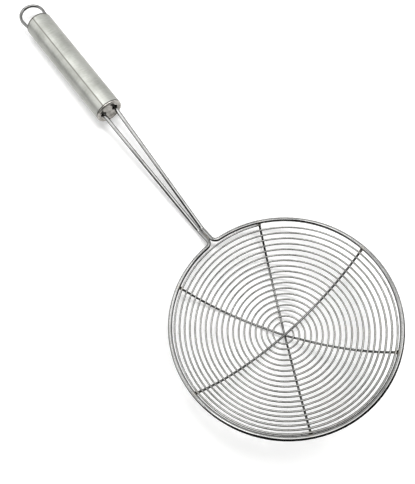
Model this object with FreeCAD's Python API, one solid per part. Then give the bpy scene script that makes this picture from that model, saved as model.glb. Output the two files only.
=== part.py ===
import FreeCAD, Part
import math
import os

# Spider skimmer: a wire dish on a round rim, two shank wires and a hollow tube handle.
# All sizes are millimetres and degrees. The pieces are first drawn in the rim's own frame:
# rim centre at the origin, rim plane at z = 0, handle towards -X. At the end the whole
# object is laid on a table, where it touches with two cross wires and the handle's tail.

# Rim and shanks, bent from one round wire
rim_radius = 73.5
frame_wire = 3.0
neck_bend = 4.5
neck_length = 15.0
neck_weld_length = 9.0
neck_weld_height = 2.0
neck_weld_setback = 2.2
kink_radius = 9.0
shank_rise = 26.5
shank_length = 110.5
shank_inside = 22.0

# Dish: three cross wires under one spiral wire
dish_depth = 31.0
dish_lean = 1.0
spiral_wire = 1.3
spiral_start = 5.6
spiral_turns = 18 + 5 / 6
spiral_end_gap = 1.6
cross_wire = 1.6
cross_turn = 1.7
cross_set_down = 0.4
cross_dip_reach = 14.0
wire_gap = 0.06
weld_collar = 0.6
weld_collar_root = 0.15
weld_collar_length = 1.5
weld_gap = 0.02

# Handle tube and its end pieces
handle_rise = 19.5
tube_diameter = 20.9
tube_wall = 0.6
tube_length = 94.0
seam_width = 0.3
seam_depth = 0.25
seam_azimuth = -17.5
tail_round = 1.1
tail_lip = 0.4
cap_lip = 1.2
cap_lip_width = 1.9
cap_recess = 1.0
cap_recess_draft = 0.7
cap_sheet = 0.8
cap_skirt = 7.0
cap_hole_play = 0.95
cap_hole_margin = 0.4
press_gap = 0.05
bead_width = 1.1
bead_root = 0.3
bead_height = 1.4

# Hanging loop in the tail plug
loop_wire = 2.3
loop_reach = 19.1
loop_inset = 0.2
loop_lip_play = 0.15
loop_inside = 10.0
plug_depth = 4.0
plug_sheet = 0.6
plug_skirt = 4.0
plug_hole_play = 0.1

# Steps of the drawn curves and the search for the resting tilt
spiral_steps_per_turn = 4
gap_steps_per_turn = 48
steepest_tilt = 45.0
tilt_exactness = 1e-7

V = FreeCAD.Vector
origin = V(0, 0, 0)
up = V(0, 0, 1)

frame_r = frame_wire / 2
spiral_r = spiral_wire / 2
cross_r = cross_wire / 2
loop_r = loop_wire / 2
tube_r = tube_diameter / 2
bore_r = tube_r - tube_wall
tail_lip_r = bore_r - tail_lip
cap_inner_r = tube_r - cap_lip_width
cap_plate_r = cap_inner_r - cap_recess_draft
cap_hole_r = frame_r + cap_hole_play

# The shanks enter the cap's plate as far apart as its recess allows.
shank_reach = cap_plate_r - cap_hole_margin - cap_hole_r

# The spiral's centreline lies on a ball that just clears the rim wire from inside.
rim_seat = frame_r + spiral_r + wire_gap
dish_radius = (rim_radius**2 + dish_depth**2 - rim_seat**2) / (2 * (dish_depth + rim_seat))
dish_centre = V(0, 0, dish_radius - dish_depth)
rim_angle = math.atan2(rim_radius, dish_centre.z)
cross_radius = dish_radius + spiral_r + cross_r + wire_gap

# The cross wires run between the handle line and the sides, a sixth of a turn apart.
cross_azimuths = [90 + cross_turn, 30 + cross_turn, 150 + cross_turn]

# The dish is turned on its ball so that its middle lies a little ahead of the rim's centre.
lean_turn = FreeCAD.Rotation(V(0, 1, 0), -dish_lean)
dish_up = lean_turn.multVec(up)


def polar(radius, azimuth, z=0.0):
    a = math.radians(azimuth)
    return V(radius * math.cos(a), radius * math.sin(a), z)


def leaned(radius, azimuth, z=0.0):
    return lean_turn.multVec(polar(radius, azimuth, z))


def ball_point(radius, tilt, azimuth):
    # point at the given angle from the dish's middle on a ball about the dish centre
    return dish_centre + leaned(radius * math.sin(tilt), azimuth, -radius * math.cos(tilt))


def ball_way(tilt, azimuth):
    # direction straight away from the dish's middle at that point
    return leaned(math.cos(tilt), azimuth, math.sin(tilt))


def unit(v):
    return v * (1.0 / v.Length)


def arc_from(start, tangent, end):
    # circular arc that leaves start along tangent and ends at end
    chord = end - start
    along = unit(chord)
    side = tangent - along * tangent.dot(along)
    if side.Length < 1e-7:
        return Part.LineSegment(start, end).toShape()
    half_turn = math.atan2(side.Length, tangent.dot(along))
    rise = chord.Length / 2 * math.tan(half_turn / 2)
    return Part.Arc(start, start + chord * 0.5 + unit(side) * rise, end).toShape()


def biarc(start, start_way, end, end_way):
    # two arcs that meet smoothly and keep both end directions
    chord = end - start
    turn = start_way.dot(end_way)
    both = chord.dot(start_way + end_way)
    a = 2 * (turn - 1)
    if abs(a) < 1e-9:
        reach = chord.dot(chord) / (2 * both)
    else:
        reach = (both - math.sqrt(both * both - a * chord.dot(chord))) / a
    first = start + start_way * reach
    last = end - end_way * reach
    middle = (first + last) * 0.5
    return [arc_from(start, start_way, middle), arc_from(middle, unit(last - first), end)]


def rounded_corner(before, corner, after, radius):
    # tangent points and arc of the given radius at a corner of two straight runs
    come = unit(corner - before)
    leave = unit(after - corner)
    setback = radius * math.tan(come.getAngle(leave) / 2)
    start = corner - come * setback
    end = corner + leave * setback
    return start, end, arc_from(start, come, end)


def tube_along(edges, radius):
    # round wire of one radius along a smooth path
    path = Part.Wire(edges)
    start = path.Edges[0].valueAt(path.Edges[0].FirstParameter)
    way = path.Edges[0].tangentAt(path.Edges[0].FirstParameter)
    section = Part.Wire([Part.Circle(start, way, radius).toShape()])
    return path.makePipeShell([section], True, False)


def rod(start, end, radius):
    return Part.makeCylinder(radius, (end - start).Length, start, end - start)


def cone(start, end, start_radius, end_radius):
    return Part.makeCone(start_radius, end_radius, (end - start).Length, start, end - start)


def tilt_at(angle, azimuth):
    # how far from the dish's middle the leaning dish is at that angle from straight down
    lean = lean_turn.multVec(polar(1, azimuth)).z
    reach = math.hypot(dish_up.z, lean)
    return math.acos(math.cos(angle) / reach) - math.atan2(lean, dish_up.z)


# Straight runs of the two shanks, named for the side with the sign of y
rise = math.radians(shank_rise)
shank_side = frame_r + wire_gap / 2
kink = V(-(rim_radius + neck_length), 0, 0)
cap_centre = kink + V(-math.cos(rise), 0, math.sin(rise)) * shank_length
handle_way = V(-math.cos(math.radians(handle_rise)), 0, math.sin(math.radians(handle_rise)))
handle_over = V(handle_way.z, 0, -handle_way.x)
tail_centre = cap_centre + handle_way * tube_length


def shank_line(side):
    near = kink + V(0, side * shank_side, 0)
    far = cap_centre + V(0, side * shank_reach, 0)
    return near, unit(far - near), (far - near).Length


def shank_edges(side):
    # from the end inside the tube to the tangent point on the rim
    near, way, length = shank_line(side)
    end = near + way * (length + shank_inside)
    bend_x = -math.sqrt((rim_radius + neck_bend)**2 - (shank_side + neck_bend)**2)
    bend_centre = V(bend_x, side * (shank_side + neck_bend), 0)
    neck_end = V(bend_x, side * shank_side, 0)
    rim_point = unit(bend_centre) * rim_radius
    kink_start, kink_end, kink_arc = rounded_corner(end, near, neck_end, kink_radius)
    edges = [Part.LineSegment(end, kink_start).toShape(), kink_arc]
    edges.append(Part.LineSegment(kink_end, neck_end).toShape())
    edges.append(arc_from(neck_end, V(1, 0, 0), rim_point))
    return edges, rim_point


def make_rim_frame_wire():
    left, left_point = shank_edges(1)
    right, right_point = shank_edges(-1)
    front = V(rim_radius, 0, 0)
    left_top = V(0, rim_radius, 0)
    right_top = V(0, -rim_radius, 0)
    left_way = unit(V(left_point.y, -left_point.x, 0))
    ring = [arc_from(left_point, left_way, left_top), arc_from(left_top, V(1, 0, 0), front)]
    ring.append(arc_from(front, V(0, -1, 0), right_top))
    ring.append(arc_from(right_top, V(-1, 0, 0), right_point))
    back = [edge.reversed() for edge in reversed(right)]
    return tube_along(left + ring + back, frame_r)


def make_neck_welds():
    # beads in the grooves above and below the two touching wires
    start = V(kink.x + neck_weld_setback, 0, 0)
    box = Part.makeBox(neck_weld_length, frame_wire, neck_weld_height,
                       start - V(0, frame_r, neck_weld_height / 2))
    for side in (1, -1):
        line = start + V(-neck_weld_setback, side * shank_side, 0)
        past = line + V(neck_weld_length + 2 * neck_weld_setback, 0, 0)
        box = box.cut(rod(line, past, shank_side + weld_gap))
    return Part.makeCompound(box.Solids)


# Cross wires, one over the other where they meet in the middle
end_angle = rim_angle - (frame_r + wire_gap) / cross_radius
stack_step = cross_wire - cross_set_down


def cross_end_tilt(azimuth):
    return tilt_at(end_angle, azimuth)


def make_cross_wire(layer):
    azimuth = cross_azimuths[layer]
    dip_tilt = math.asin(cross_dip_reach / cross_radius)
    start_tilt = cross_end_tilt(azimuth + 180)
    start = ball_point(cross_radius, start_tilt, azimuth + 180)
    start_way = ball_way(start_tilt, azimuth + 180) * -1
    in_point = ball_point(cross_radius, dip_tilt, azimuth + 180)
    in_way = ball_way(dip_tilt, azimuth + 180) * -1
    low = ball_point(cross_radius + layer * stack_step, 0, azimuth)
    low_way = ball_way(0, azimuth)
    out_point = ball_point(cross_radius, dip_tilt, azimuth)
    out_way = ball_way(dip_tilt, azimuth)
    end = ball_point(cross_radius, cross_end_tilt(azimuth), azimuth)
    edges = [arc_from(start, start_way, in_point)]
    edges += biarc(in_point, in_way, low, low_way)
    edges += biarc(low, low_way, out_point, out_way)
    edges.append(arc_from(out_point, out_way, end))
    wire = tube_along(edges, cross_r)
    if layer == 0:
        return wire
    # pressed into the wire above by the weld
    above = ball_way(0, cross_azimuths[layer - 1]) * frame_wire
    seat = low + dish_up * stack_step
    return wire.cut(rod(seat - above, seat + above, cross_r + weld_gap)).Solids[0]


def make_cross_wire_welds():
    # collars on the free sides of each wire end, clear of the turns above
    rim = Part.makeTorus(rim_radius, frame_r + weld_gap)
    beads = []
    for azimuth in cross_azimuths:
        for facing in (azimuth, azimuth + 180):
            tilt = cross_end_tilt(facing)
            end = ball_point(cross_radius, tilt, facing)
            way = ball_way(tilt, facing)
            low = end - way * weld_collar_length
            high = end + way * frame_r
            bead = cone(low, high, cross_r + weld_collar_root, cross_r + weld_collar)
            bead = bead.cut(rod(low - way, high + way, cross_r + weld_gap))
            inward = unit(dish_centre - end)
            turns_side = end + inward * (cross_r - wire_gap)
            turns_room = rod(turns_side, turns_side + inward * cross_wire, frame_wire)
            beads.append(bead.cut(rim).cut(turns_room).Solids[0])
    return Part.makeCompound(beads)


# Spiral wire, wound clockwise from the top cross wire to the rim
spiral_end = dish_radius * tilt_at(rim_angle, cross_azimuths[0] - 360 * spiral_turns) - spiral_end_gap
spiral_pitch = (spiral_end - spiral_start) / spiral_turns


def spiral_point(turn):
    tilt = (spiral_start + spiral_pitch * turn) / dish_radius
    return ball_point(dish_radius, tilt, cross_azimuths[0] - 360 * turn)


def spiral_way(turn):
    tilt = (spiral_start + spiral_pitch * turn) / dish_radius
    azimuth = cross_azimuths[0] - 360 * turn
    climb = ball_way(tilt, azimuth) * spiral_pitch
    around = leaned(2 * math.pi * dish_radius * math.sin(tilt), azimuth - 90)
    return unit(climb + around)


def make_spiral_wire():
    steps = math.ceil(spiral_turns * spiral_steps_per_turn)
    turns = [spiral_turns * i / steps for i in range(steps + 1)]
    edges = []
    for a, b in zip(turns, turns[1:]):
        edges += biarc(spiral_point(a), spiral_way(a), spiral_point(b), spiral_way(b))
    return tube_along(edges, spiral_r)


def spiral_self_gap():
    count = int(spiral_turns * gap_steps_per_turn)
    points = [spiral_point(i / gap_steps_per_turn) for i in range(count + 1)]
    near = gap_steps_per_turn // 2
    least = min((points[i] - points[j]).Length
                for i in range(count - near)
                for j in range(i + near, min(i + 3 * near, count)))
    return least - spiral_wire


# Handle pieces, turned about the tube's axis: a is the way along it, r the radius
def turned(outline, base, way):
    # outline is a list of edges in (r, a); it closes on the axis or on itself
    face = Part.Face(Part.Wire(outline))
    solid = face.revolve(origin, V(0, 0, 1), 360)
    solid.Placement = FreeCAD.Placement(base, FreeCAD.Rotation(V(0, 0, 1), way))
    return solid


def ra(r, a):
    return V(r, 0, a)


def polyline(points):
    return [Part.LineSegment(p, q).toShape() for p, q in zip(points, points[1:])]


def quarter(start, end, bulge_r, bulge_a):
    # rounded edge from start to end about a corner at (bulge_r, bulge_a)
    corner = ra(bulge_r, bulge_a)
    middle = (start + end) * 0.5
    return Part.Arc(start, middle + (corner - middle) * (math.sqrt(2) - 1), end).toShape()


def make_handle_tube():
    shoulder = tube_length - tail_round
    outer_start = ra(tube_r, cap_lip + press_gap)
    outer_end = ra(tube_r, shoulder)
    tail_outer = ra(tube_r - tail_round, tube_length)
    outline = polyline([outer_start, outer_end])
    outline.append(quarter(outer_end, tail_outer, tube_r, tube_length))
    outline += polyline([tail_outer, ra(tail_lip_r, tube_length), ra(tail_lip_r, shoulder + tail_lip),
                         ra(bore_r, shoulder - tail_lip), ra(bore_r, cap_lip + press_gap), outer_start])
    return turned(outline, cap_centre, handle_way).cut(seam_groove()).Solids[0]


def seam_groove():
    # closed seam where the edges of the rolled sheet meet, to the left of the top
    a = math.radians(seam_azimuth)
    out = handle_over * math.cos(a) + V(0, math.sin(a), 0)
    half = handle_way.cross(out) * (seam_width / 2)
    low = cap_centre + out * (tube_r - seam_depth)
    high = cap_centre + out * (tube_r + seam_depth)
    outline = Part.makePolygon([low - half, low + half, high + half, high - half, low - half])
    return Part.Face(outline).extrude(handle_way * tube_length)


def make_front_cap():
    crown_r = tube_r - cap_lip
    skirt_r = bore_r - press_gap
    back = cap_recess + cap_sheet
    outer = ra(tube_r, cap_lip)
    crown = ra(crown_r, 0)
    inner = ra(cap_inner_r, cap_lip_width - cap_lip)
    outline = [quarter(outer, crown, tube_r, 0), quarter(crown, inner, cap_inner_r, 0)]
    outline += polyline([inner, ra(cap_plate_r, cap_recess), ra(0, cap_recess), ra(0, back),
                         ra(skirt_r - cap_sheet, back), ra(skirt_r - cap_sheet, cap_skirt),
                         ra(skirt_r, cap_skirt), ra(skirt_r, cap_lip), outer])
    cap = turned(outline, cap_centre, handle_way)
    for side in (1, -1):
        near, way, length = shank_line(side)
        start = near + way * (length - cap_recess)
        end = near + way * (length + cap_skirt)
        cap = cap.cut(rod(start, end, cap_hole_r))
    return cap.Solids[0]


def make_shank_welds():
    # beads behind the cap's plate, round each shank
    back = cap_recess + cap_sheet
    plate = rod(cap_centre - handle_way, cap_centre + handle_way * (back + press_gap), tube_r)
    beads = []
    for side in (1, -1):
        near, way, length = shank_line(side)
        start = near + way * (length + cap_recess)
        end = start + way * (cap_sheet + bead_height)
        bead = cone(start, end, cap_hole_r + bead_width, frame_r + bead_root)
        bead = bead.cut(rod(start - way, end + way, frame_r + weld_gap))
        beads.append(bead.cut(plate).Solids[0])
    return Part.makeCompound(beads)


# The loop is nearly as wide as the tube, and its legs lean in to pass the tail's lip.
loop_radius = tube_r - loop_inset - loop_r
loop_middle = loop_reach - loop_radius - loop_r
half_spacing = tail_lip_r - loop_lip_play - loop_r
leg_far = math.hypot(loop_middle, half_spacing)
leg_lean = math.atan2(loop_middle, half_spacing) - math.acos(loop_radius / leg_far)


def loop_place(along, across):
    return tail_centre + handle_way * along + V(0, across, 0)


def loop_leg(side):
    foot = loop_place(0, side * half_spacing)
    shoulder = loop_place(loop_middle - loop_radius * math.sin(leg_lean),
                          side * loop_radius * math.cos(leg_lean))
    way = unit(shoulder - foot)
    return foot - way * loop_inside, shoulder, way


def make_hanging_loop():
    left_end, left_shoulder, left_way = loop_leg(1)
    right_end, right_shoulder, right_way = loop_leg(-1)
    top = loop_place(loop_middle + loop_radius, 0)
    edges = [Part.LineSegment(left_end, left_shoulder).toShape()]
    edges.append(arc_from(left_shoulder, left_way, top))
    edges.append(arc_from(top, V(0, -1, 0), right_shoulder))
    edges.append(Part.LineSegment(right_shoulder, right_end).toShape())
    return tube_along(edges, loop_r)


def make_tail_plug():
    skirt_r = bore_r - press_gap
    face_a = tube_length - plug_depth
    points = [ra(0, face_a), ra(skirt_r, face_a), ra(skirt_r, face_a - plug_skirt),
              ra(skirt_r - plug_sheet, face_a - plug_skirt), ra(skirt_r - plug_sheet, face_a - plug_sheet),
              ra(0, face_a - plug_sheet), ra(0, face_a)]
    plug = turned(polyline(points), cap_centre, handle_way)
    for side in (1, -1):
        end, shoulder, way = loop_leg(side)
        plug = plug.cut(rod(end, shoulder, loop_r + plug_hole_play))
    return plug.Solids[0]


def make_loop_welds():
    # beads inside the plug, round each leg, kept off the plug's skirt
    inner_r = bore_r - 2 * press_gap - plug_sheet
    face = tail_centre - handle_way * (plug_depth + plug_sheet + press_gap)
    room = rod(face - handle_way * plug_skirt, face, inner_r)
    beads = []
    for side in (1, -1):
        end, shoulder, way = loop_leg(side)
        bottom = end + way * (loop_inside - plug_depth - plug_sheet - bead_height)
        top = bottom + way * (bead_height + plug_sheet)
        bead = cone(bottom, top, loop_r + bead_root, loop_r + bead_width)
        bead = bead.cut(rod(end, shoulder, loop_r + weld_gap))
        beads.append(bead.common(room).Solids[0])
    return Part.makeCompound(beads)


# Resting tilt: the turn about Y at which the dish and the handle's tail are equally low
def height_at(point, tilt):
    return point.z * math.cos(tilt) + point.x * math.sin(tilt)


def dish_low(tilt):
    # lowest point of the wires that slope down towards the handle
    lows = []
    for azimuth in cross_azimuths:
        for facing in (azimuth, azimuth + 180):
            ahead = height_at(ball_way(0, facing), tilt)
            lean = math.atan2(-ahead, height_at(dish_up, tilt))
            if lean > 0:
                lows.append(height_at(ball_point(cross_radius, lean, facing), tilt) - cross_r)
    return min(lows)


def tail_low(tilt):
    edge = tail_centre - handle_way * tail_round - handle_over * tube_r
    return height_at(edge, tilt)


def resting_tilt():
    low, high = 0.0, math.radians(steepest_tilt)
    while high - low > tilt_exactness:
        middle = (low + high) / 2
        if tail_low(middle) > dish_low(middle):
            low = middle
        else:
            high = middle
    return low


pieces = {
    "rim_frame_wire": make_rim_frame_wire(),
    "neck_welds": make_neck_welds(),
    "cross_wire_upper": make_cross_wire(0),
    "cross_wire_middle": make_cross_wire(1),
    "cross_wire_lower": make_cross_wire(2),
    "cross_wire_welds": make_cross_wire_welds(),
    "spiral_wire": make_spiral_wire(),
    "front_cap": make_front_cap(),
    "shank_welds": make_shank_welds(),
    "handle_tube": make_handle_tube(),
    "tail_plug": make_tail_plug(),
    "loop_welds": make_loop_welds(),
    "hanging_loop": make_hanging_loop(),
}

# Lay it on the table with its box's bottom centre at the origin
tilt = resting_tilt()
lay_down = FreeCAD.Placement(origin, FreeCAD.Rotation(V(0, 1, 0), -math.degrees(tilt)))
for name, piece in pieces.items():
    pieces[name] = piece.transformed(lay_down.toMatrix(), True)
box = Part.makeCompound(list(pieces.values())).optimalBoundingBox(False)
shift = V(-(box.XMin + box.XMax) / 2, -(box.YMin + box.YMax) / 2, -box.ZMin)

os.makedirs("parts", exist_ok=True)
for name, piece in pieces.items():
    piece.translate(shift)
    piece.exportStep("parts/" + name + ".step")
    print(name, piece.ShapeType, piece.isValid(), len(piece.Solids), round(piece.Volume, 1))
print("resting tilt", round(math.degrees(tilt), 2), "box", round(box.XLength, 2), round(box.YLength, 2),
      round(box.ZLength, 2), "shift", [round(c, 3) for c in shift])
print("spiral pitch", round(spiral_pitch, 3), "least gap to itself", round(spiral_self_gap(), 2))
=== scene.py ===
import math

import bmesh
import bpy
from mathutils import Matrix, Vector
from mathutils.bvhtree import BVHTree


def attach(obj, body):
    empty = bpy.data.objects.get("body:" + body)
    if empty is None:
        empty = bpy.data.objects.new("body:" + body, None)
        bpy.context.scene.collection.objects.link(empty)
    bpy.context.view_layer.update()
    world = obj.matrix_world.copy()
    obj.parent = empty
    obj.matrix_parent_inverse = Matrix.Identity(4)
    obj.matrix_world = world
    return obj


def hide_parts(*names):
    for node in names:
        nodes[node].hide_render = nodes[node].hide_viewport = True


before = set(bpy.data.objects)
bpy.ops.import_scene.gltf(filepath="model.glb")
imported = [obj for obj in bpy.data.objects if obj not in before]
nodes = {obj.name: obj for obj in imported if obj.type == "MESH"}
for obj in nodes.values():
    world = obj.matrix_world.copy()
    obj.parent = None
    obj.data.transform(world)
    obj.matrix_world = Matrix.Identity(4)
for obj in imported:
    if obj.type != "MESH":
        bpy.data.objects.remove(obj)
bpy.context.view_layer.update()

mm = 0.001
crossWires = ["cross_wire_" + layer for layer in ("upper", "middle", "lower")]
noiseSpan = (0.3, 0.7)                          # most of a noise lies between these
mixShare, mixFrom, mixTo, mixOut = 0, 6, 7, 2   # sockets of a Mix node that mixes colours


def linear(hexColour):
    # sRGB hex to the linear colour that shaders take
    parts = [int(hexColour[i:i + 2], 16) / 255 for i in (1, 3, 5)]
    return tuple(c / 12.92 if c <= 0.04045 else ((c + 0.055) / 1.055) ** 2.4 for c in parts) + (1,)


def add(tree, kind, inputs, stops=(), **settings):
    # one node with its settings and any colour stops; an input is a value or another node's output
    node = tree.nodes.new(kind)
    for name, value in settings.items():
        setattr(node, name, value)
    for name, value in inputs.items():
        if hasattr(value, "is_output"):
            tree.links.new(value, node.inputs[name])
        else:
            node.inputs[name].default_value = value
    while stops and len(node.color_ramp.elements) < len(stops):
        node.color_ramp.elements.new(0.5)
    for i, (place, colour) in enumerate(stops):
        node.color_ramp.elements[i].position = place
        node.color_ramp.elements[i].color = linear(colour)
    return node


def startMaterial(name):
    material = bpy.data.materials.new(name)
    material.use_nodes = True
    tree = material.node_tree
    return material, tree, tree.nodes["Principled BSDF"]


# the camera stands nearly overhead, turned so that the handle runs up to the left
cameraSet = {
    "place": (93.18, -64.83, 350.05),
    "aim": (45.18, -0.86, 0.0),
    "roll": 15.42,
    "focalPixels": 488.0,   # focal length in pixels of an image 484 high
    "imageHeight": 484,
    "nearest": 10.0,        # mm, what is closer is not drawn
}


def placeCamera():
    use = cameraSet
    data = bpy.data.cameras.new("camera")
    camera = bpy.data.objects.new("camera", data)
    bpy.context.scene.collection.objects.link(camera)
    place = Vector(use["place"]) * mm
    aim = Vector(use["aim"]) * mm
    turn = (aim - place).to_track_quat("-Z", "Y").to_matrix()
    turn = turn @ Matrix.Rotation(math.radians(use["roll"]), 3, "Z")
    camera.matrix_world = Matrix.Translation(place) @ turn.to_4x4()
    data.lens = use["focalPixels"] * data.sensor_width / use["imageHeight"]
    data.clip_start = use["nearest"] * mm
    bpy.context.scene.camera = camera
    return turn @ Vector((0, 1, 0))


pictureUp = placeCamera()
print("camera done")


# spiral wire: one length of wire, pressed a little into each cross wire where it is welded on
spiral = {
    "rimRadius": 73.5,       # mm, to the middle of the rim wire
    "rimWire": 3.0,
    "depth": 31.0,
    "lean": 1.0,             # degrees that the dish is turned forward on its ball
    "wire": 1.3,
    "gap": 0.06,             # mm between the rim wire and the ball that the turns lie on
    "start": 5.6,            # mm from the middle of the dish, along the ball
    "turns": 18 + 5 / 6,
    "pitch": 4.01,
    "firstAzimuth": 91.7,
    "restTilt": 21.44,       # degrees, the dish as it lies on the table
    "restShift": (117.784, 0.0, 36.184),
    "stepsPerTurn": 84,
    "crossings": 6,          # cross wires that one turn meets, counting each twice
    "sink": 0.22,            # mm that a turn is pressed into a cross wire
    "sinkReach": 1.5,        # mm, half the length of that bend
    "sinkEnd": 3,            # half lengths from the weld, past which the bend is nothing
    "weldedWithin": 0.3,     # mm between the two wires at which they count as welded
    "roundness": 4,          # the wire's section has twice this and 4 more sides
    "mergeWithin": 0.001,    # mm
    "testEvery": 7,          # points from one test against the solid to the next
}


def spiralPlaces():
    use = spiral
    seat = (use["rimWire"] + use["wire"]) / 2 + use["gap"]
    ball = (use["rimRadius"] ** 2 + use["depth"] ** 2 - seat ** 2) / (2 * (use["depth"] + seat))
    centre = Vector((0, 0, ball - use["depth"]))
    rest = Matrix.Rotation(math.radians(-use["restTilt"]), 4, "Y")
    lay = Matrix.Translation(Vector(use["restShift"])) @ rest
    lean = Matrix.Rotation(math.radians(-use["lean"]), 3, "Y")

    def at(turn):
        tilt = (use["start"] + use["pitch"] * turn) / ball
        azimuth = math.radians(use["firstAzimuth"] - 360 * turn)
        across = math.sin(tilt)
        way = Vector((across * math.cos(azimuth), across * math.sin(azimuth), -math.cos(tilt)))
        return (lay @ (centre + lean @ (way * ball))) * mm, ball * across * mm

    return at


def meshTree(name):
    data = nodes[name].data
    return BVHTree.FromPolygons([v.co for v in data.vertices], [p.vertices for p in data.polygons])


def findWelds():
    # a turn meets a cross wire every sixth of a turn; in the middle the lower two pass clear below
    use = spiral
    at = spiralPlaces()
    trees = [meshTree(name) for name in crossWires]
    found = []
    for k in range(int(round(use["turns"] * use["crossings"])) + 1):
        turn = k / use["crossings"]
        point, reach = at(turn)
        near, _, _, gap = trees[k % len(trees)].find_nearest(point)
        if gap < (use["wire"] / 2 + use["weldedWithin"]) * mm:
            found.append((turn, point, (near - point).normalized(), reach))
    return found


spiralWelds = findWelds()
print("welded crossings", len(spiralWelds))


def woundSpiral():
    use = spiral
    at = spiralPlaces()
    steps = int(use["turns"] * use["stepsPerTurn"])
    points = []
    for i in range(steps + 1):
        turn = use["turns"] * i / steps
        point, _ = at(turn)
        for weldTurn, _, toWire, weldReach in spiralWelds:
            along = (turn - weldTurn) * 2 * math.pi * weldReach / (use["sinkReach"] * mm)
            if abs(along) < use["sinkEnd"]:
                point = point + toWire * use["sink"] * mm * math.exp(-along * along)
        points.append(point)
    data = bpy.data.curves.new("wound_spiral", "CURVE")
    data.dimensions = "3D"
    data.bevel_depth = use["wire"] / 2 * mm
    data.bevel_resolution = use["roundness"]
    data.use_fill_caps = True
    run = data.splines.new("POLY")
    run.points.add(len(points) - 1)
    for slot, point in zip(run.points, points):
        slot.co = (*point, 1)
    wire = bpy.data.objects.new("wound_spiral_line", data)
    bpy.context.scene.collection.objects.link(wire)
    mesh = bpy.data.meshes.new_from_object(wire.evaluated_get(bpy.context.evaluated_depsgraph_get()))
    bpy.data.objects.remove(wire)
    mesh.name = "wound_spiral"
    made = bmesh.new()
    made.from_mesh(mesh)
    bmesh.ops.remove_doubles(made, verts=made.verts, dist=use["mergeWithin"] * mm)
    bmesh.ops.recalc_face_normals(made, faces=made.faces)
    for face in made.faces:
        face.smooth = len(face.verts) == 4   # all but the two end caps
    made.to_mesh(mesh)
    made.free()
    piece = bpy.data.objects.new("wound_spiral", mesh)
    bpy.context.scene.collection.objects.link(piece)
    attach(piece, "root")
    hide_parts("spiral_wire")
    # the two ends are left out, as the nearest face there is the solid's end and not its side
    tested = points[use["testEvery"]:-use["testEvery"]:use["testEvery"]]
    cad = meshTree("spiral_wire")
    off = [abs(cad.find_nearest(p)[3] - use["wire"] / 2 * mm) / mm for p in tested]
    print("spiral", len(points), "points, off the solid's line by at most", round(max(off), 3), "mm,",
          len(mesh.polygons), "faces")


woundSpiral()


# weld nuggets between the turns and the cross wires, squeezed out a little on both sides
nugget = {"across": 1.05, "height": 0.5, "below": 0.62}


def weldNuggets():
    use = nugget
    size = Vector((use["across"], use["across"], use["height"])) / 2 * mm
    made = bmesh.new()
    for _, point, toWire, _ in spiralWelds:
        ball = bmesh.ops.create_icosphere(made, subdivisions=1, radius=1.0)
        turnIt = toWire.to_track_quat("Z", "Y").to_matrix().to_4x4()
        place = Matrix.Translation(point + toWire * use["below"] * mm)
        bmesh.ops.transform(made, matrix=place @ turnIt @ Matrix.Diagonal((*size, 1)), verts=ball["verts"])
    for face in made.faces:
        face.smooth = True
    mesh = bpy.data.meshes.new("turn_welds")
    made.to_mesh(mesh)
    made.free()
    piece = bpy.data.objects.new("turn_welds", mesh)
    bpy.context.scene.collection.objects.link(piece)
    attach(piece, "root")


weldNuggets()
print("weld nuggets done")


def offLine(tree, value, line):
    # how far a value is from a line, on either side
    off = add(tree, "ShaderNodeMath", {0: value, 1: line}, operation="SUBTRACT")
    return add(tree, "ShaderNodeMath", {0: off.outputs[0]}, operation="ABSOLUTE").outputs[0]


def blendIn(tree, colour, other, away, span, most=1.0):
    # another colour, full within the first distance of the span and gone past the second
    share = add(tree, "ShaderNodeMapRange",
                {"Value": away, "From Min": span[1] * mm, "From Max": span[0] * mm, "To Max": most},
                interpolation_type="SMOOTHSTEP")
    mixed = add(tree, "ShaderNodeMix",
                {mixShare: share.outputs[0], mixFrom: colour, mixTo: linear(other)},
                data_type="RGBA")
    return mixed.outputs[mixOut]


def bareSteel(tree, shader, colour, sheen, roughness, relief, bump):
    # colour, a gloss that changes with one noise, and fine relief from another
    rough = add(tree, "ShaderNodeMapRange",
                {"Value": sheen, "From Min": noiseSpan[0], "From Max": noiseSpan[1],
                 "To Min": roughness[0], "To Max": roughness[1]})
    raised = add(tree, "ShaderNodeBump",
                 {"Height": relief, "Strength": bump[0], "Distance": bump[1] * mm})
    tree.links.new(colour, shader.inputs["Base Color"])
    tree.links.new(rough.outputs[0], shader.inputs["Roughness"])
    tree.links.new(raised.outputs["Normal"], shader.inputs["Normal"])
    shader.inputs["Metallic"].default_value = 1.0


wireFinish = {
    "polished": ("#7e7e7d", "#717170"),   # rim and shanks, clean and rubbed
    "spun": ("#81817f", "#747472"),       # spiral
    "drawn": ("#727271", "#636362"),      # loop, left as drawn
    "crossed": ("#6b6b6a", "#5b5b5a"),    # cross wires, made darker as painted shade from the turns over them
    "straw": "#a39478",
    "tint": 0.2,
    "tintSpan": (1.0, 4.0),    # mm from a weld, where its heat colour is full and where it ends
    "drawMarks": 0.4,          # mm; real drawing marks are finer and would not show
    "smudge": 9.0,             # mm from patch to patch
    "smudgeDetail": 3.0,
    "smudgeStops": (0.35, 0.6),
    "roughness": (0.06, 0.14),
    "bump": (0.04, 0.05),      # strength, and mm of height
}


def wireEnds(name):
    # the two ends of a cross wire, welded to the rim
    points = [v.co for v in nodes[name].data.vertices]
    first = max(points, key=lambda p: (p - points[0]).length)
    last = max(points, key=lambda p: (p - first).length)
    return [first.copy(), last.copy()]


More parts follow.
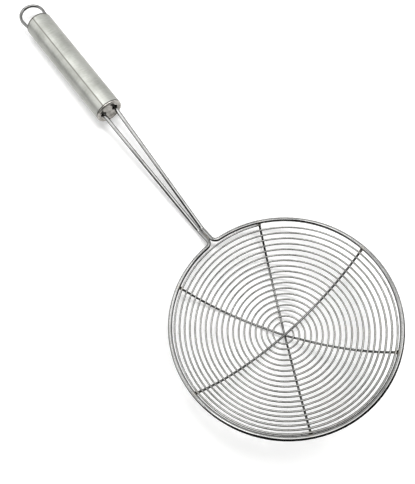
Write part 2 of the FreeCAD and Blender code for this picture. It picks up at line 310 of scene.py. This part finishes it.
def wireSteel(name, clean, rubbed):
    # drawn stainless wire: mirror bright where polished, in soft patches, with straw heat colour at the rim
    use = wireFinish
    material, tree, shader = startMaterial(name)
    place = add(tree, "ShaderNodeTexCoord", {}).outputs["Object"]
    marks = add(tree, "ShaderNodeTexNoise", {"Vector": place, "Scale": 1 / (use["drawMarks"] * mm)})
    smudge = add(tree, "ShaderNodeTexNoise",
                 {"Vector": place, "Scale": 1 / (use["smudge"] * mm), "Detail": use["smudgeDetail"]})
    patchy = add(tree, "ShaderNodeValToRGB", {"Fac": smudge.outputs["Fac"]},
                 stops=list(zip(use["smudgeStops"], (rubbed, clean))))
    nearest = None
    for end in [e for wire in crossWires for e in wireEnds(wire)]:
        away = add(tree, "ShaderNodeVectorMath", {0: place, 1: end}, operation="DISTANCE").outputs["Value"]
        if nearest is not None:
            away = add(tree, "ShaderNodeMath", {0: nearest, 1: away}, operation="MINIMUM").outputs[0]
        nearest = away
    tinted = blendIn(tree, patchy.outputs["Color"], use["straw"], nearest, use["tintSpan"], use["tint"])
    bareSteel(tree, shader, tinted,
              smudge.outputs["Fac"], use["roughness"], marks.outputs["Fac"], use["bump"])
    return material


tubeFinish = {
    "steel": "#a3a49f",
    "worn": "#8a8b86",
    "wornStops": (0.6, 1.0),
    "hairline": 0.6,          # mm along the tube from mark to mark; real belt marks are finer
    "hairlineRun": 4.0,       # mm round the tube that one mark runs
    "hairDetail": 3.0,
    "hairWeight": 0.7,
    "cloud": 14.0,            # mm from patch to patch
    "roughness": (0.38, 0.5),
    "bump": (0.08, 0.05),     # strength, and mm of height
    "anisotropy": 0.5,
    "grainTurn": 0.25,        # of a full turn, off the way round the tube
    # painted shade in the rolled seam's groove
    "seamShade": "#6c6a65",
    "seamAcross": -3.142,     # mm from the tube's middle to its rolled seam
    "seamSpan": (0.2, 0.55),
    "seamAbove": 14.0,        # mm from the table; the seam is on top
    "tailDrop": 1.94,         # degrees that the tube falls towards its tail
    "jointShade": "#1c1b1a",
    "jointSpan": (0.45, 0.9),  # mm from the front end: painted shade in the joint along the cap's lip
    "tailShade": "#45433f",
    "tailLine": 1.1,          # mm from the tail end: where the edge starts to roll in; painted shade along that crease
    "tailSpan": (0.35, 0.65),
}


def satinTube():
    # rolled stainless sheet, belt polished round the tube: satin, its light drawn out along the length
    use = tubeFinish
    material, tree, shader = startMaterial("satin stainless tube")
    place = add(tree, "ShaderNodeTexCoord", {}).outputs["Object"]
    run = 1 / (use["hairlineRun"] * mm)
    lines = add(tree, "ShaderNodeMapping",
                {"Vector": place, "Scale": (1 / (use["hairline"] * mm), run, run)})
    hair = add(tree, "ShaderNodeTexNoise",
               {"Vector": lines.outputs[0], "Scale": 1.0, "Detail": use["hairDetail"]}).outputs["Fac"]
    cloud = add(tree, "ShaderNodeTexNoise", {"Vector": place, "Scale": 1 / (use["cloud"] * mm)})
    both = add(tree, "ShaderNodeMath",
               {0: hair, 1: use["hairWeight"], 2: cloud.outputs["Fac"]},
               operation="MULTIPLY_ADD")
    colour = add(tree, "ShaderNodeValToRGB", {"Fac": both.outputs[0]},
                 stops=list(zip(use["wornStops"], (use["worn"], use["steel"])))).outputs["Color"]
    # painted shade: the seam's groove drawn darker, on top only
    axes = add(tree, "ShaderNodeSeparateXYZ", {0: place})
    top = add(tree, "ShaderNodeMath",
              {0: axes.outputs["Z"], 1: use["seamAbove"] * mm},
              operation="GREATER_THAN")
    fromSeam = offLine(tree, axes.outputs["Y"], use["seamAcross"] * mm)
    colour = blendIn(tree, colour, use["seamShade"], fromSeam, use["seamSpan"], top.outputs[0])
    # painted shade: a dark line in the joint with the cap
    drop = math.radians(use["tailDrop"])
    ahead = Vector((math.cos(drop), 0, math.sin(drop)))
    reach = [v.co.dot(ahead) for v in nodes["handle_tube"].data.vertices]
    along = add(tree, "ShaderNodeVectorMath", {0: place, 1: ahead}, operation="DOT_PRODUCT")
    fromFront = offLine(tree, along.outputs["Value"], max(reach))
    colour = blendIn(tree, colour, use["jointShade"], fromFront, use["jointSpan"])
    # painted shade along the crease where the tail's edge rolls in
    fromLine = offLine(tree, along.outputs["Value"], min(reach) + use["tailLine"] * mm)
    colour = blendIn(tree, colour, use["tailShade"], fromLine, use["tailSpan"])
    bareSteel(tree, shader, colour, hair, use["roughness"], hair, use["bump"])
    around = add(tree, "ShaderNodeTangent", {}, direction_type="RADIAL", axis="X")
    tree.links.new(around.outputs[0], shader.inputs["Tangent"])
    shader.inputs["Anisotropic"].default_value = use["anisotropy"]
    shader.inputs["Anisotropic Rotation"].default_value = use["grainTurn"]
    return material


capFinish = {
    "steel": "#aba8a3",
    "dull": "#95918b",
    "peel": 2.2,               # mm from bump to bump
    "peelStops": (0.35, 0.62),
    "grain": 0.3,              # mm, buffing grain
    "roughness": (0.24, 0.36),
    "bump": (0.1, 0.1),        # strength, and mm of height
}


def pressedCap():
    # deep-drawn stainless sheet, buffed: bright, with the faint orange peel that drawing leaves
    use = capFinish
    material, tree, shader = startMaterial("pressed stainless sheet")
    place = add(tree, "ShaderNodeTexCoord", {}).outputs["Object"]
    peel = add(tree, "ShaderNodeTexNoise", {"Vector": place, "Scale": 1 / (use["peel"] * mm)})
    grain = add(tree, "ShaderNodeTexNoise", {"Vector": place, "Scale": 1 / (use["grain"] * mm)})
    buffed = add(tree, "ShaderNodeValToRGB", {"Fac": peel.outputs["Fac"]},
                 stops=list(zip(use["peelStops"], (use["dull"], use["steel"]))))
    bareSteel(tree, shader, buffed.outputs["Color"],
              grain.outputs["Fac"], use["roughness"], peel.outputs["Fac"], use["bump"])
    return material


weldFinish = {
    "ripple": 0.6,                      # mm from ripple to ripple
    "blotch": 1.5,                      # mm from blotch to blotch
    "blotchStops": (0.36, 0.5, 0.66),
    "bump": (0.5, 0.15),                # strength, and mm of height
    "brushedColours": ("#55575a", "#6c6b69", "#7f7a70"),
    "brushed": {"Roughness": 0.35, "Metallic": 1.0, "Specular IOR Level": 0.5},
    "scaleColours": ("#080808", "#0e0d0d", "#161413"),
    "scale": {"Roughness": 0.9, "Metallic": 0.0, "Specular IOR Level": 0.05},
}


def weldMetal(name, colours, surface):
    use = weldFinish
    material, tree, shader = startMaterial(name)
    place = add(tree, "ShaderNodeTexCoord", {}).outputs["Object"]
    blotch = add(tree, "ShaderNodeTexNoise", {"Vector": place, "Scale": 1 / (use["blotch"] * mm)})
    ripple = add(tree, "ShaderNodeTexNoise", {"Vector": place, "Scale": 1 / (use["ripple"] * mm)})
    heated = add(tree, "ShaderNodeValToRGB", {"Fac": blotch.outputs["Fac"]},
                 stops=list(zip(use["blotchStops"], colours)))
    raised = add(tree, "ShaderNodeBump",
                 {"Height": ripple.outputs["Fac"],
                  "Strength": use["bump"][0], "Distance": use["bump"][1] * mm})
    tree.links.new(heated.outputs["Color"], shader.inputs["Base Color"])
    tree.links.new(raised.outputs["Normal"], shader.inputs["Normal"])
    for socket, value in surface.items():
        shader.inputs[socket].default_value = value
    return material


def dress(names, material):
    for name in names:
        mesh = nodes[name].data if name in nodes else bpy.data.objects[name].data
        mesh.materials.clear()
        mesh.materials.append(material)


dress(["rim_frame_wire"], wireSteel("polished stainless wire", *wireFinish["polished"]))
dress(["spiral_wire", "wound_spiral", "turn_welds"], wireSteel("wound stainless wire", *wireFinish["spun"]))
# the cross wires' darker colour is painted shade from the turns above them
dress(crossWires, wireSteel("stainless wire darkened for shade", *wireFinish["crossed"]))
dress(["hanging_loop"], wireSteel("drawn stainless wire", *wireFinish["drawn"]))
dress(["handle_tube"], satinTube())
dress(["front_cap", "tail_plug"], pressedCap())
# brushed-off weld metal: dull grey with straw and blue heat colours, rippled as it set
dress(["neck_welds", "cross_wire_welds"],
      weldMetal("brushed weld metal", weldFinish["brushedColours"], weldFinish["brushed"]))
# weld left as it was inside the handle: black scale, so the holes look black
dress(["shank_welds", "loop_welds"],
      weldMetal("weld with black scale", weldFinish["scaleColours"], weldFinish["scale"]))
print("materials done")


# white sweep, soft light from the upper left, and cards that only the steel shows
stageSet = {
    "floorRadius": 4.0,          # metres
    "floorSides": 96,
    "floor": "#e2e2e1",
    "floorRoughness": 0.9,
    "glow": "#ffffff",
    "floorGlow": (0.48, 0.95),   # near the object and far off, where the lamps reach less
    "glowReach": (0.4, 1.3),     # metres
    "world": "#ffffff",
    "roomLight": 0.2,            # what the room gives to matt things
    "roomSeen": 1.0,             # what the camera and the steel see of it
    "cardRoughness": 1.0,
    "cardSteps": (10, 40),       # upwards and round
}

# a lamp: azimuth clockwise from the top of the picture, elevation, metres off, metres across, watts
lamps = {
    "key_light": (328, 70, 1.1, 0.3, 3.8),
    "fill_light": (30, 74, 1.1, 0.4, 7.6),
}

# a card: metres off, azimuth from and to, elevation from and to, colour, glow
cards = {
    "south_card": (1.5, 80, 246, 1, 68, "#050505", 0),
    "south_wall": (0.24, 105, 225, 0, 16, "#050505", 0),
    "west_card": (1.5, 246, 300, 1, 10, "#0c0c0c", 0),
    "north_card": (1.5, 300, 440, 1, 4, "#202020", 0),
    "west_window": (1.5, 248, 322, 11, 48, "#ffffff", 2.05),
    "top_window": (1.5, 268, 326, 57, 71, "#ffffff", 6.6),
    "north_window": (1.5, 324, 440, 22, 45, "#ffffff", 0.75),
    "low_window": (1.5, 324, 440, 5, 21, "#ffffff", 1.35),
    "high_window": (1.5, 354, 440, 46, 71, "#ffffff", 3.6),
    "spark": (1.4, 333, 341, 50, 60, "#ffffff", 9.0),
    "ceiling": (1.5, 0, 360, 73, 90, "#ffffff", 4.0),
}


def standInRoom(azimuth, elevation):
    # direction seen clockwise from the top of the picture
    up = math.atan2(pictureUp.y, pictureUp.x)
    flat = up - math.radians(azimuth)
    rise = math.radians(elevation)
    return Vector((math.cos(flat) * math.cos(rise), math.sin(flat) * math.cos(rise), math.sin(rise)))


def stageMesh(name, made, material):
    mesh = bpy.data.meshes.new(name)
    made.to_mesh(mesh)
    made.free()
    mesh.materials.append(material)
    thing = bpy.data.objects.new(name, mesh)
    bpy.context.scene.collection.objects.link(thing)
    return thing


def seenShare(tree):
    # 1 for what the camera, the steel or glass sees directly, 0 for the light on matt things
    path = add(tree, "ShaderNodeLightPath", {})
    seen = path.outputs["Is Camera Ray"]
    for other in ("Is Glossy Ray", "Is Transmission Ray"):
        either = add(tree, "ShaderNodeMath", {0: seen, 1: path.outputs[other]}, operation="MAXIMUM")
        seen = either.outputs[0]
    return seen


def makeFloor():
    # matt white paper; what the camera and the steel see of it glows a little, and keeps its shadows
    use = stageSet
    material, tree, shader = startMaterial("white paper")
    shader.inputs["Base Color"].default_value = linear(use["floor"])
    shader.inputs["Roughness"].default_value = use["floorRoughness"]
    shader.inputs["Specular IOR Level"].default_value = 0.0
    place = add(tree, "ShaderNodeTexCoord", {}).outputs["Object"]
    away = add(tree, "ShaderNodeVectorMath", {0: place}, operation="LENGTH")
    level = add(tree, "ShaderNodeMapRange",
                {"Value": away.outputs["Value"],
                 "From Min": use["glowReach"][0], "From Max": use["glowReach"][1],
                 "To Min": use["floorGlow"][0], "To Max": use["floorGlow"][1]},
                interpolation_type="SMOOTHSTEP")
    glow = add(tree, "ShaderNodeMath", {0: seenShare(tree), 1: level.outputs[0]}, operation="MULTIPLY")
    tree.links.new(glow.outputs[0], shader.inputs["Emission Strength"])
    shader.inputs["Emission Color"].default_value = linear(use["glow"])
    made = bmesh.new()
    bmesh.ops.create_circle(made, cap_ends=True, radius=use["floorRadius"], segments=use["floorSides"])
    stageMesh("floor", made, material)


def makeCard(name, distance, fromAzimuth, toAzimuth, low, high, colour, glow):
    # a patch of a ball round the object: one corner spun up, then that edge spun round
    use = stageSet
    material, _, shader = startMaterial(name)
    shader.inputs["Base Color"].default_value = linear(colour)
    shader.inputs["Roughness"].default_value = use["cardRoughness"]
    shader.inputs["Emission Color"].default_value = linear(colour)
    shader.inputs["Emission Strength"].default_value = glow
    made = bmesh.new()
    corner = made.verts.new(standInRoom(toAzimuth, low) * distance)
    side = Vector((0, 0, 1)).cross(corner.co).normalized()
    bmesh.ops.spin(made, geom=[corner], cent=(0, 0, 0), axis=-side,
                   angle=math.radians(high - low), steps=use["cardSteps"][0])
    bmesh.ops.spin(made, geom=made.verts[:] + made.edges[:], cent=(0, 0, 0), axis=(0, 0, 1),
                   angle=math.radians(toAzimuth - fromAzimuth), steps=use["cardSteps"][1])
    card = stageMesh(name, made, material)
    card.visible_camera = False
    card.visible_diffuse = False
    card.visible_shadow = False
    card.visible_transmission = False


def makeWorld():
    use = stageSet
    world = bpy.data.worlds.new("pale room")
    world.use_nodes = True
    tree = world.node_tree
    ground = tree.nodes["Background"]
    ground.inputs["Color"].default_value = linear(use["world"])
    strength = add(tree, "ShaderNodeMapRange",
                   {"Value": seenShare(tree), "To Min": use["roomLight"], "To Max": use["roomSeen"]})
    tree.links.new(strength.outputs[0], ground.inputs["Strength"])
    bpy.context.scene.world = world


def makeLamp(name, azimuth, elevation, distance, size, energy):
    data = bpy.data.lights.new(name, "AREA")
    data.shape = "DISK"
    data.size = size
    data.energy = energy
    lamp = bpy.data.objects.new(name, data)
    bpy.context.scene.collection.objects.link(lamp)
    way = standInRoom(azimuth, elevation)
    facing = way.to_track_quat("Z", "Y").to_matrix().to_4x4()
    lamp.matrix_world = Matrix.Translation(way * distance) @ facing
    lamp.visible_glossy = False   # the steel shows the cards instead


makeFloor()
makeWorld()
for name, values in lamps.items():
    makeLamp(name, *values)
for name, values in cards.items():
    makeCard(name, *values)
bpy.context.scene.view_settings.view_transform = "Standard"
print("stage done")
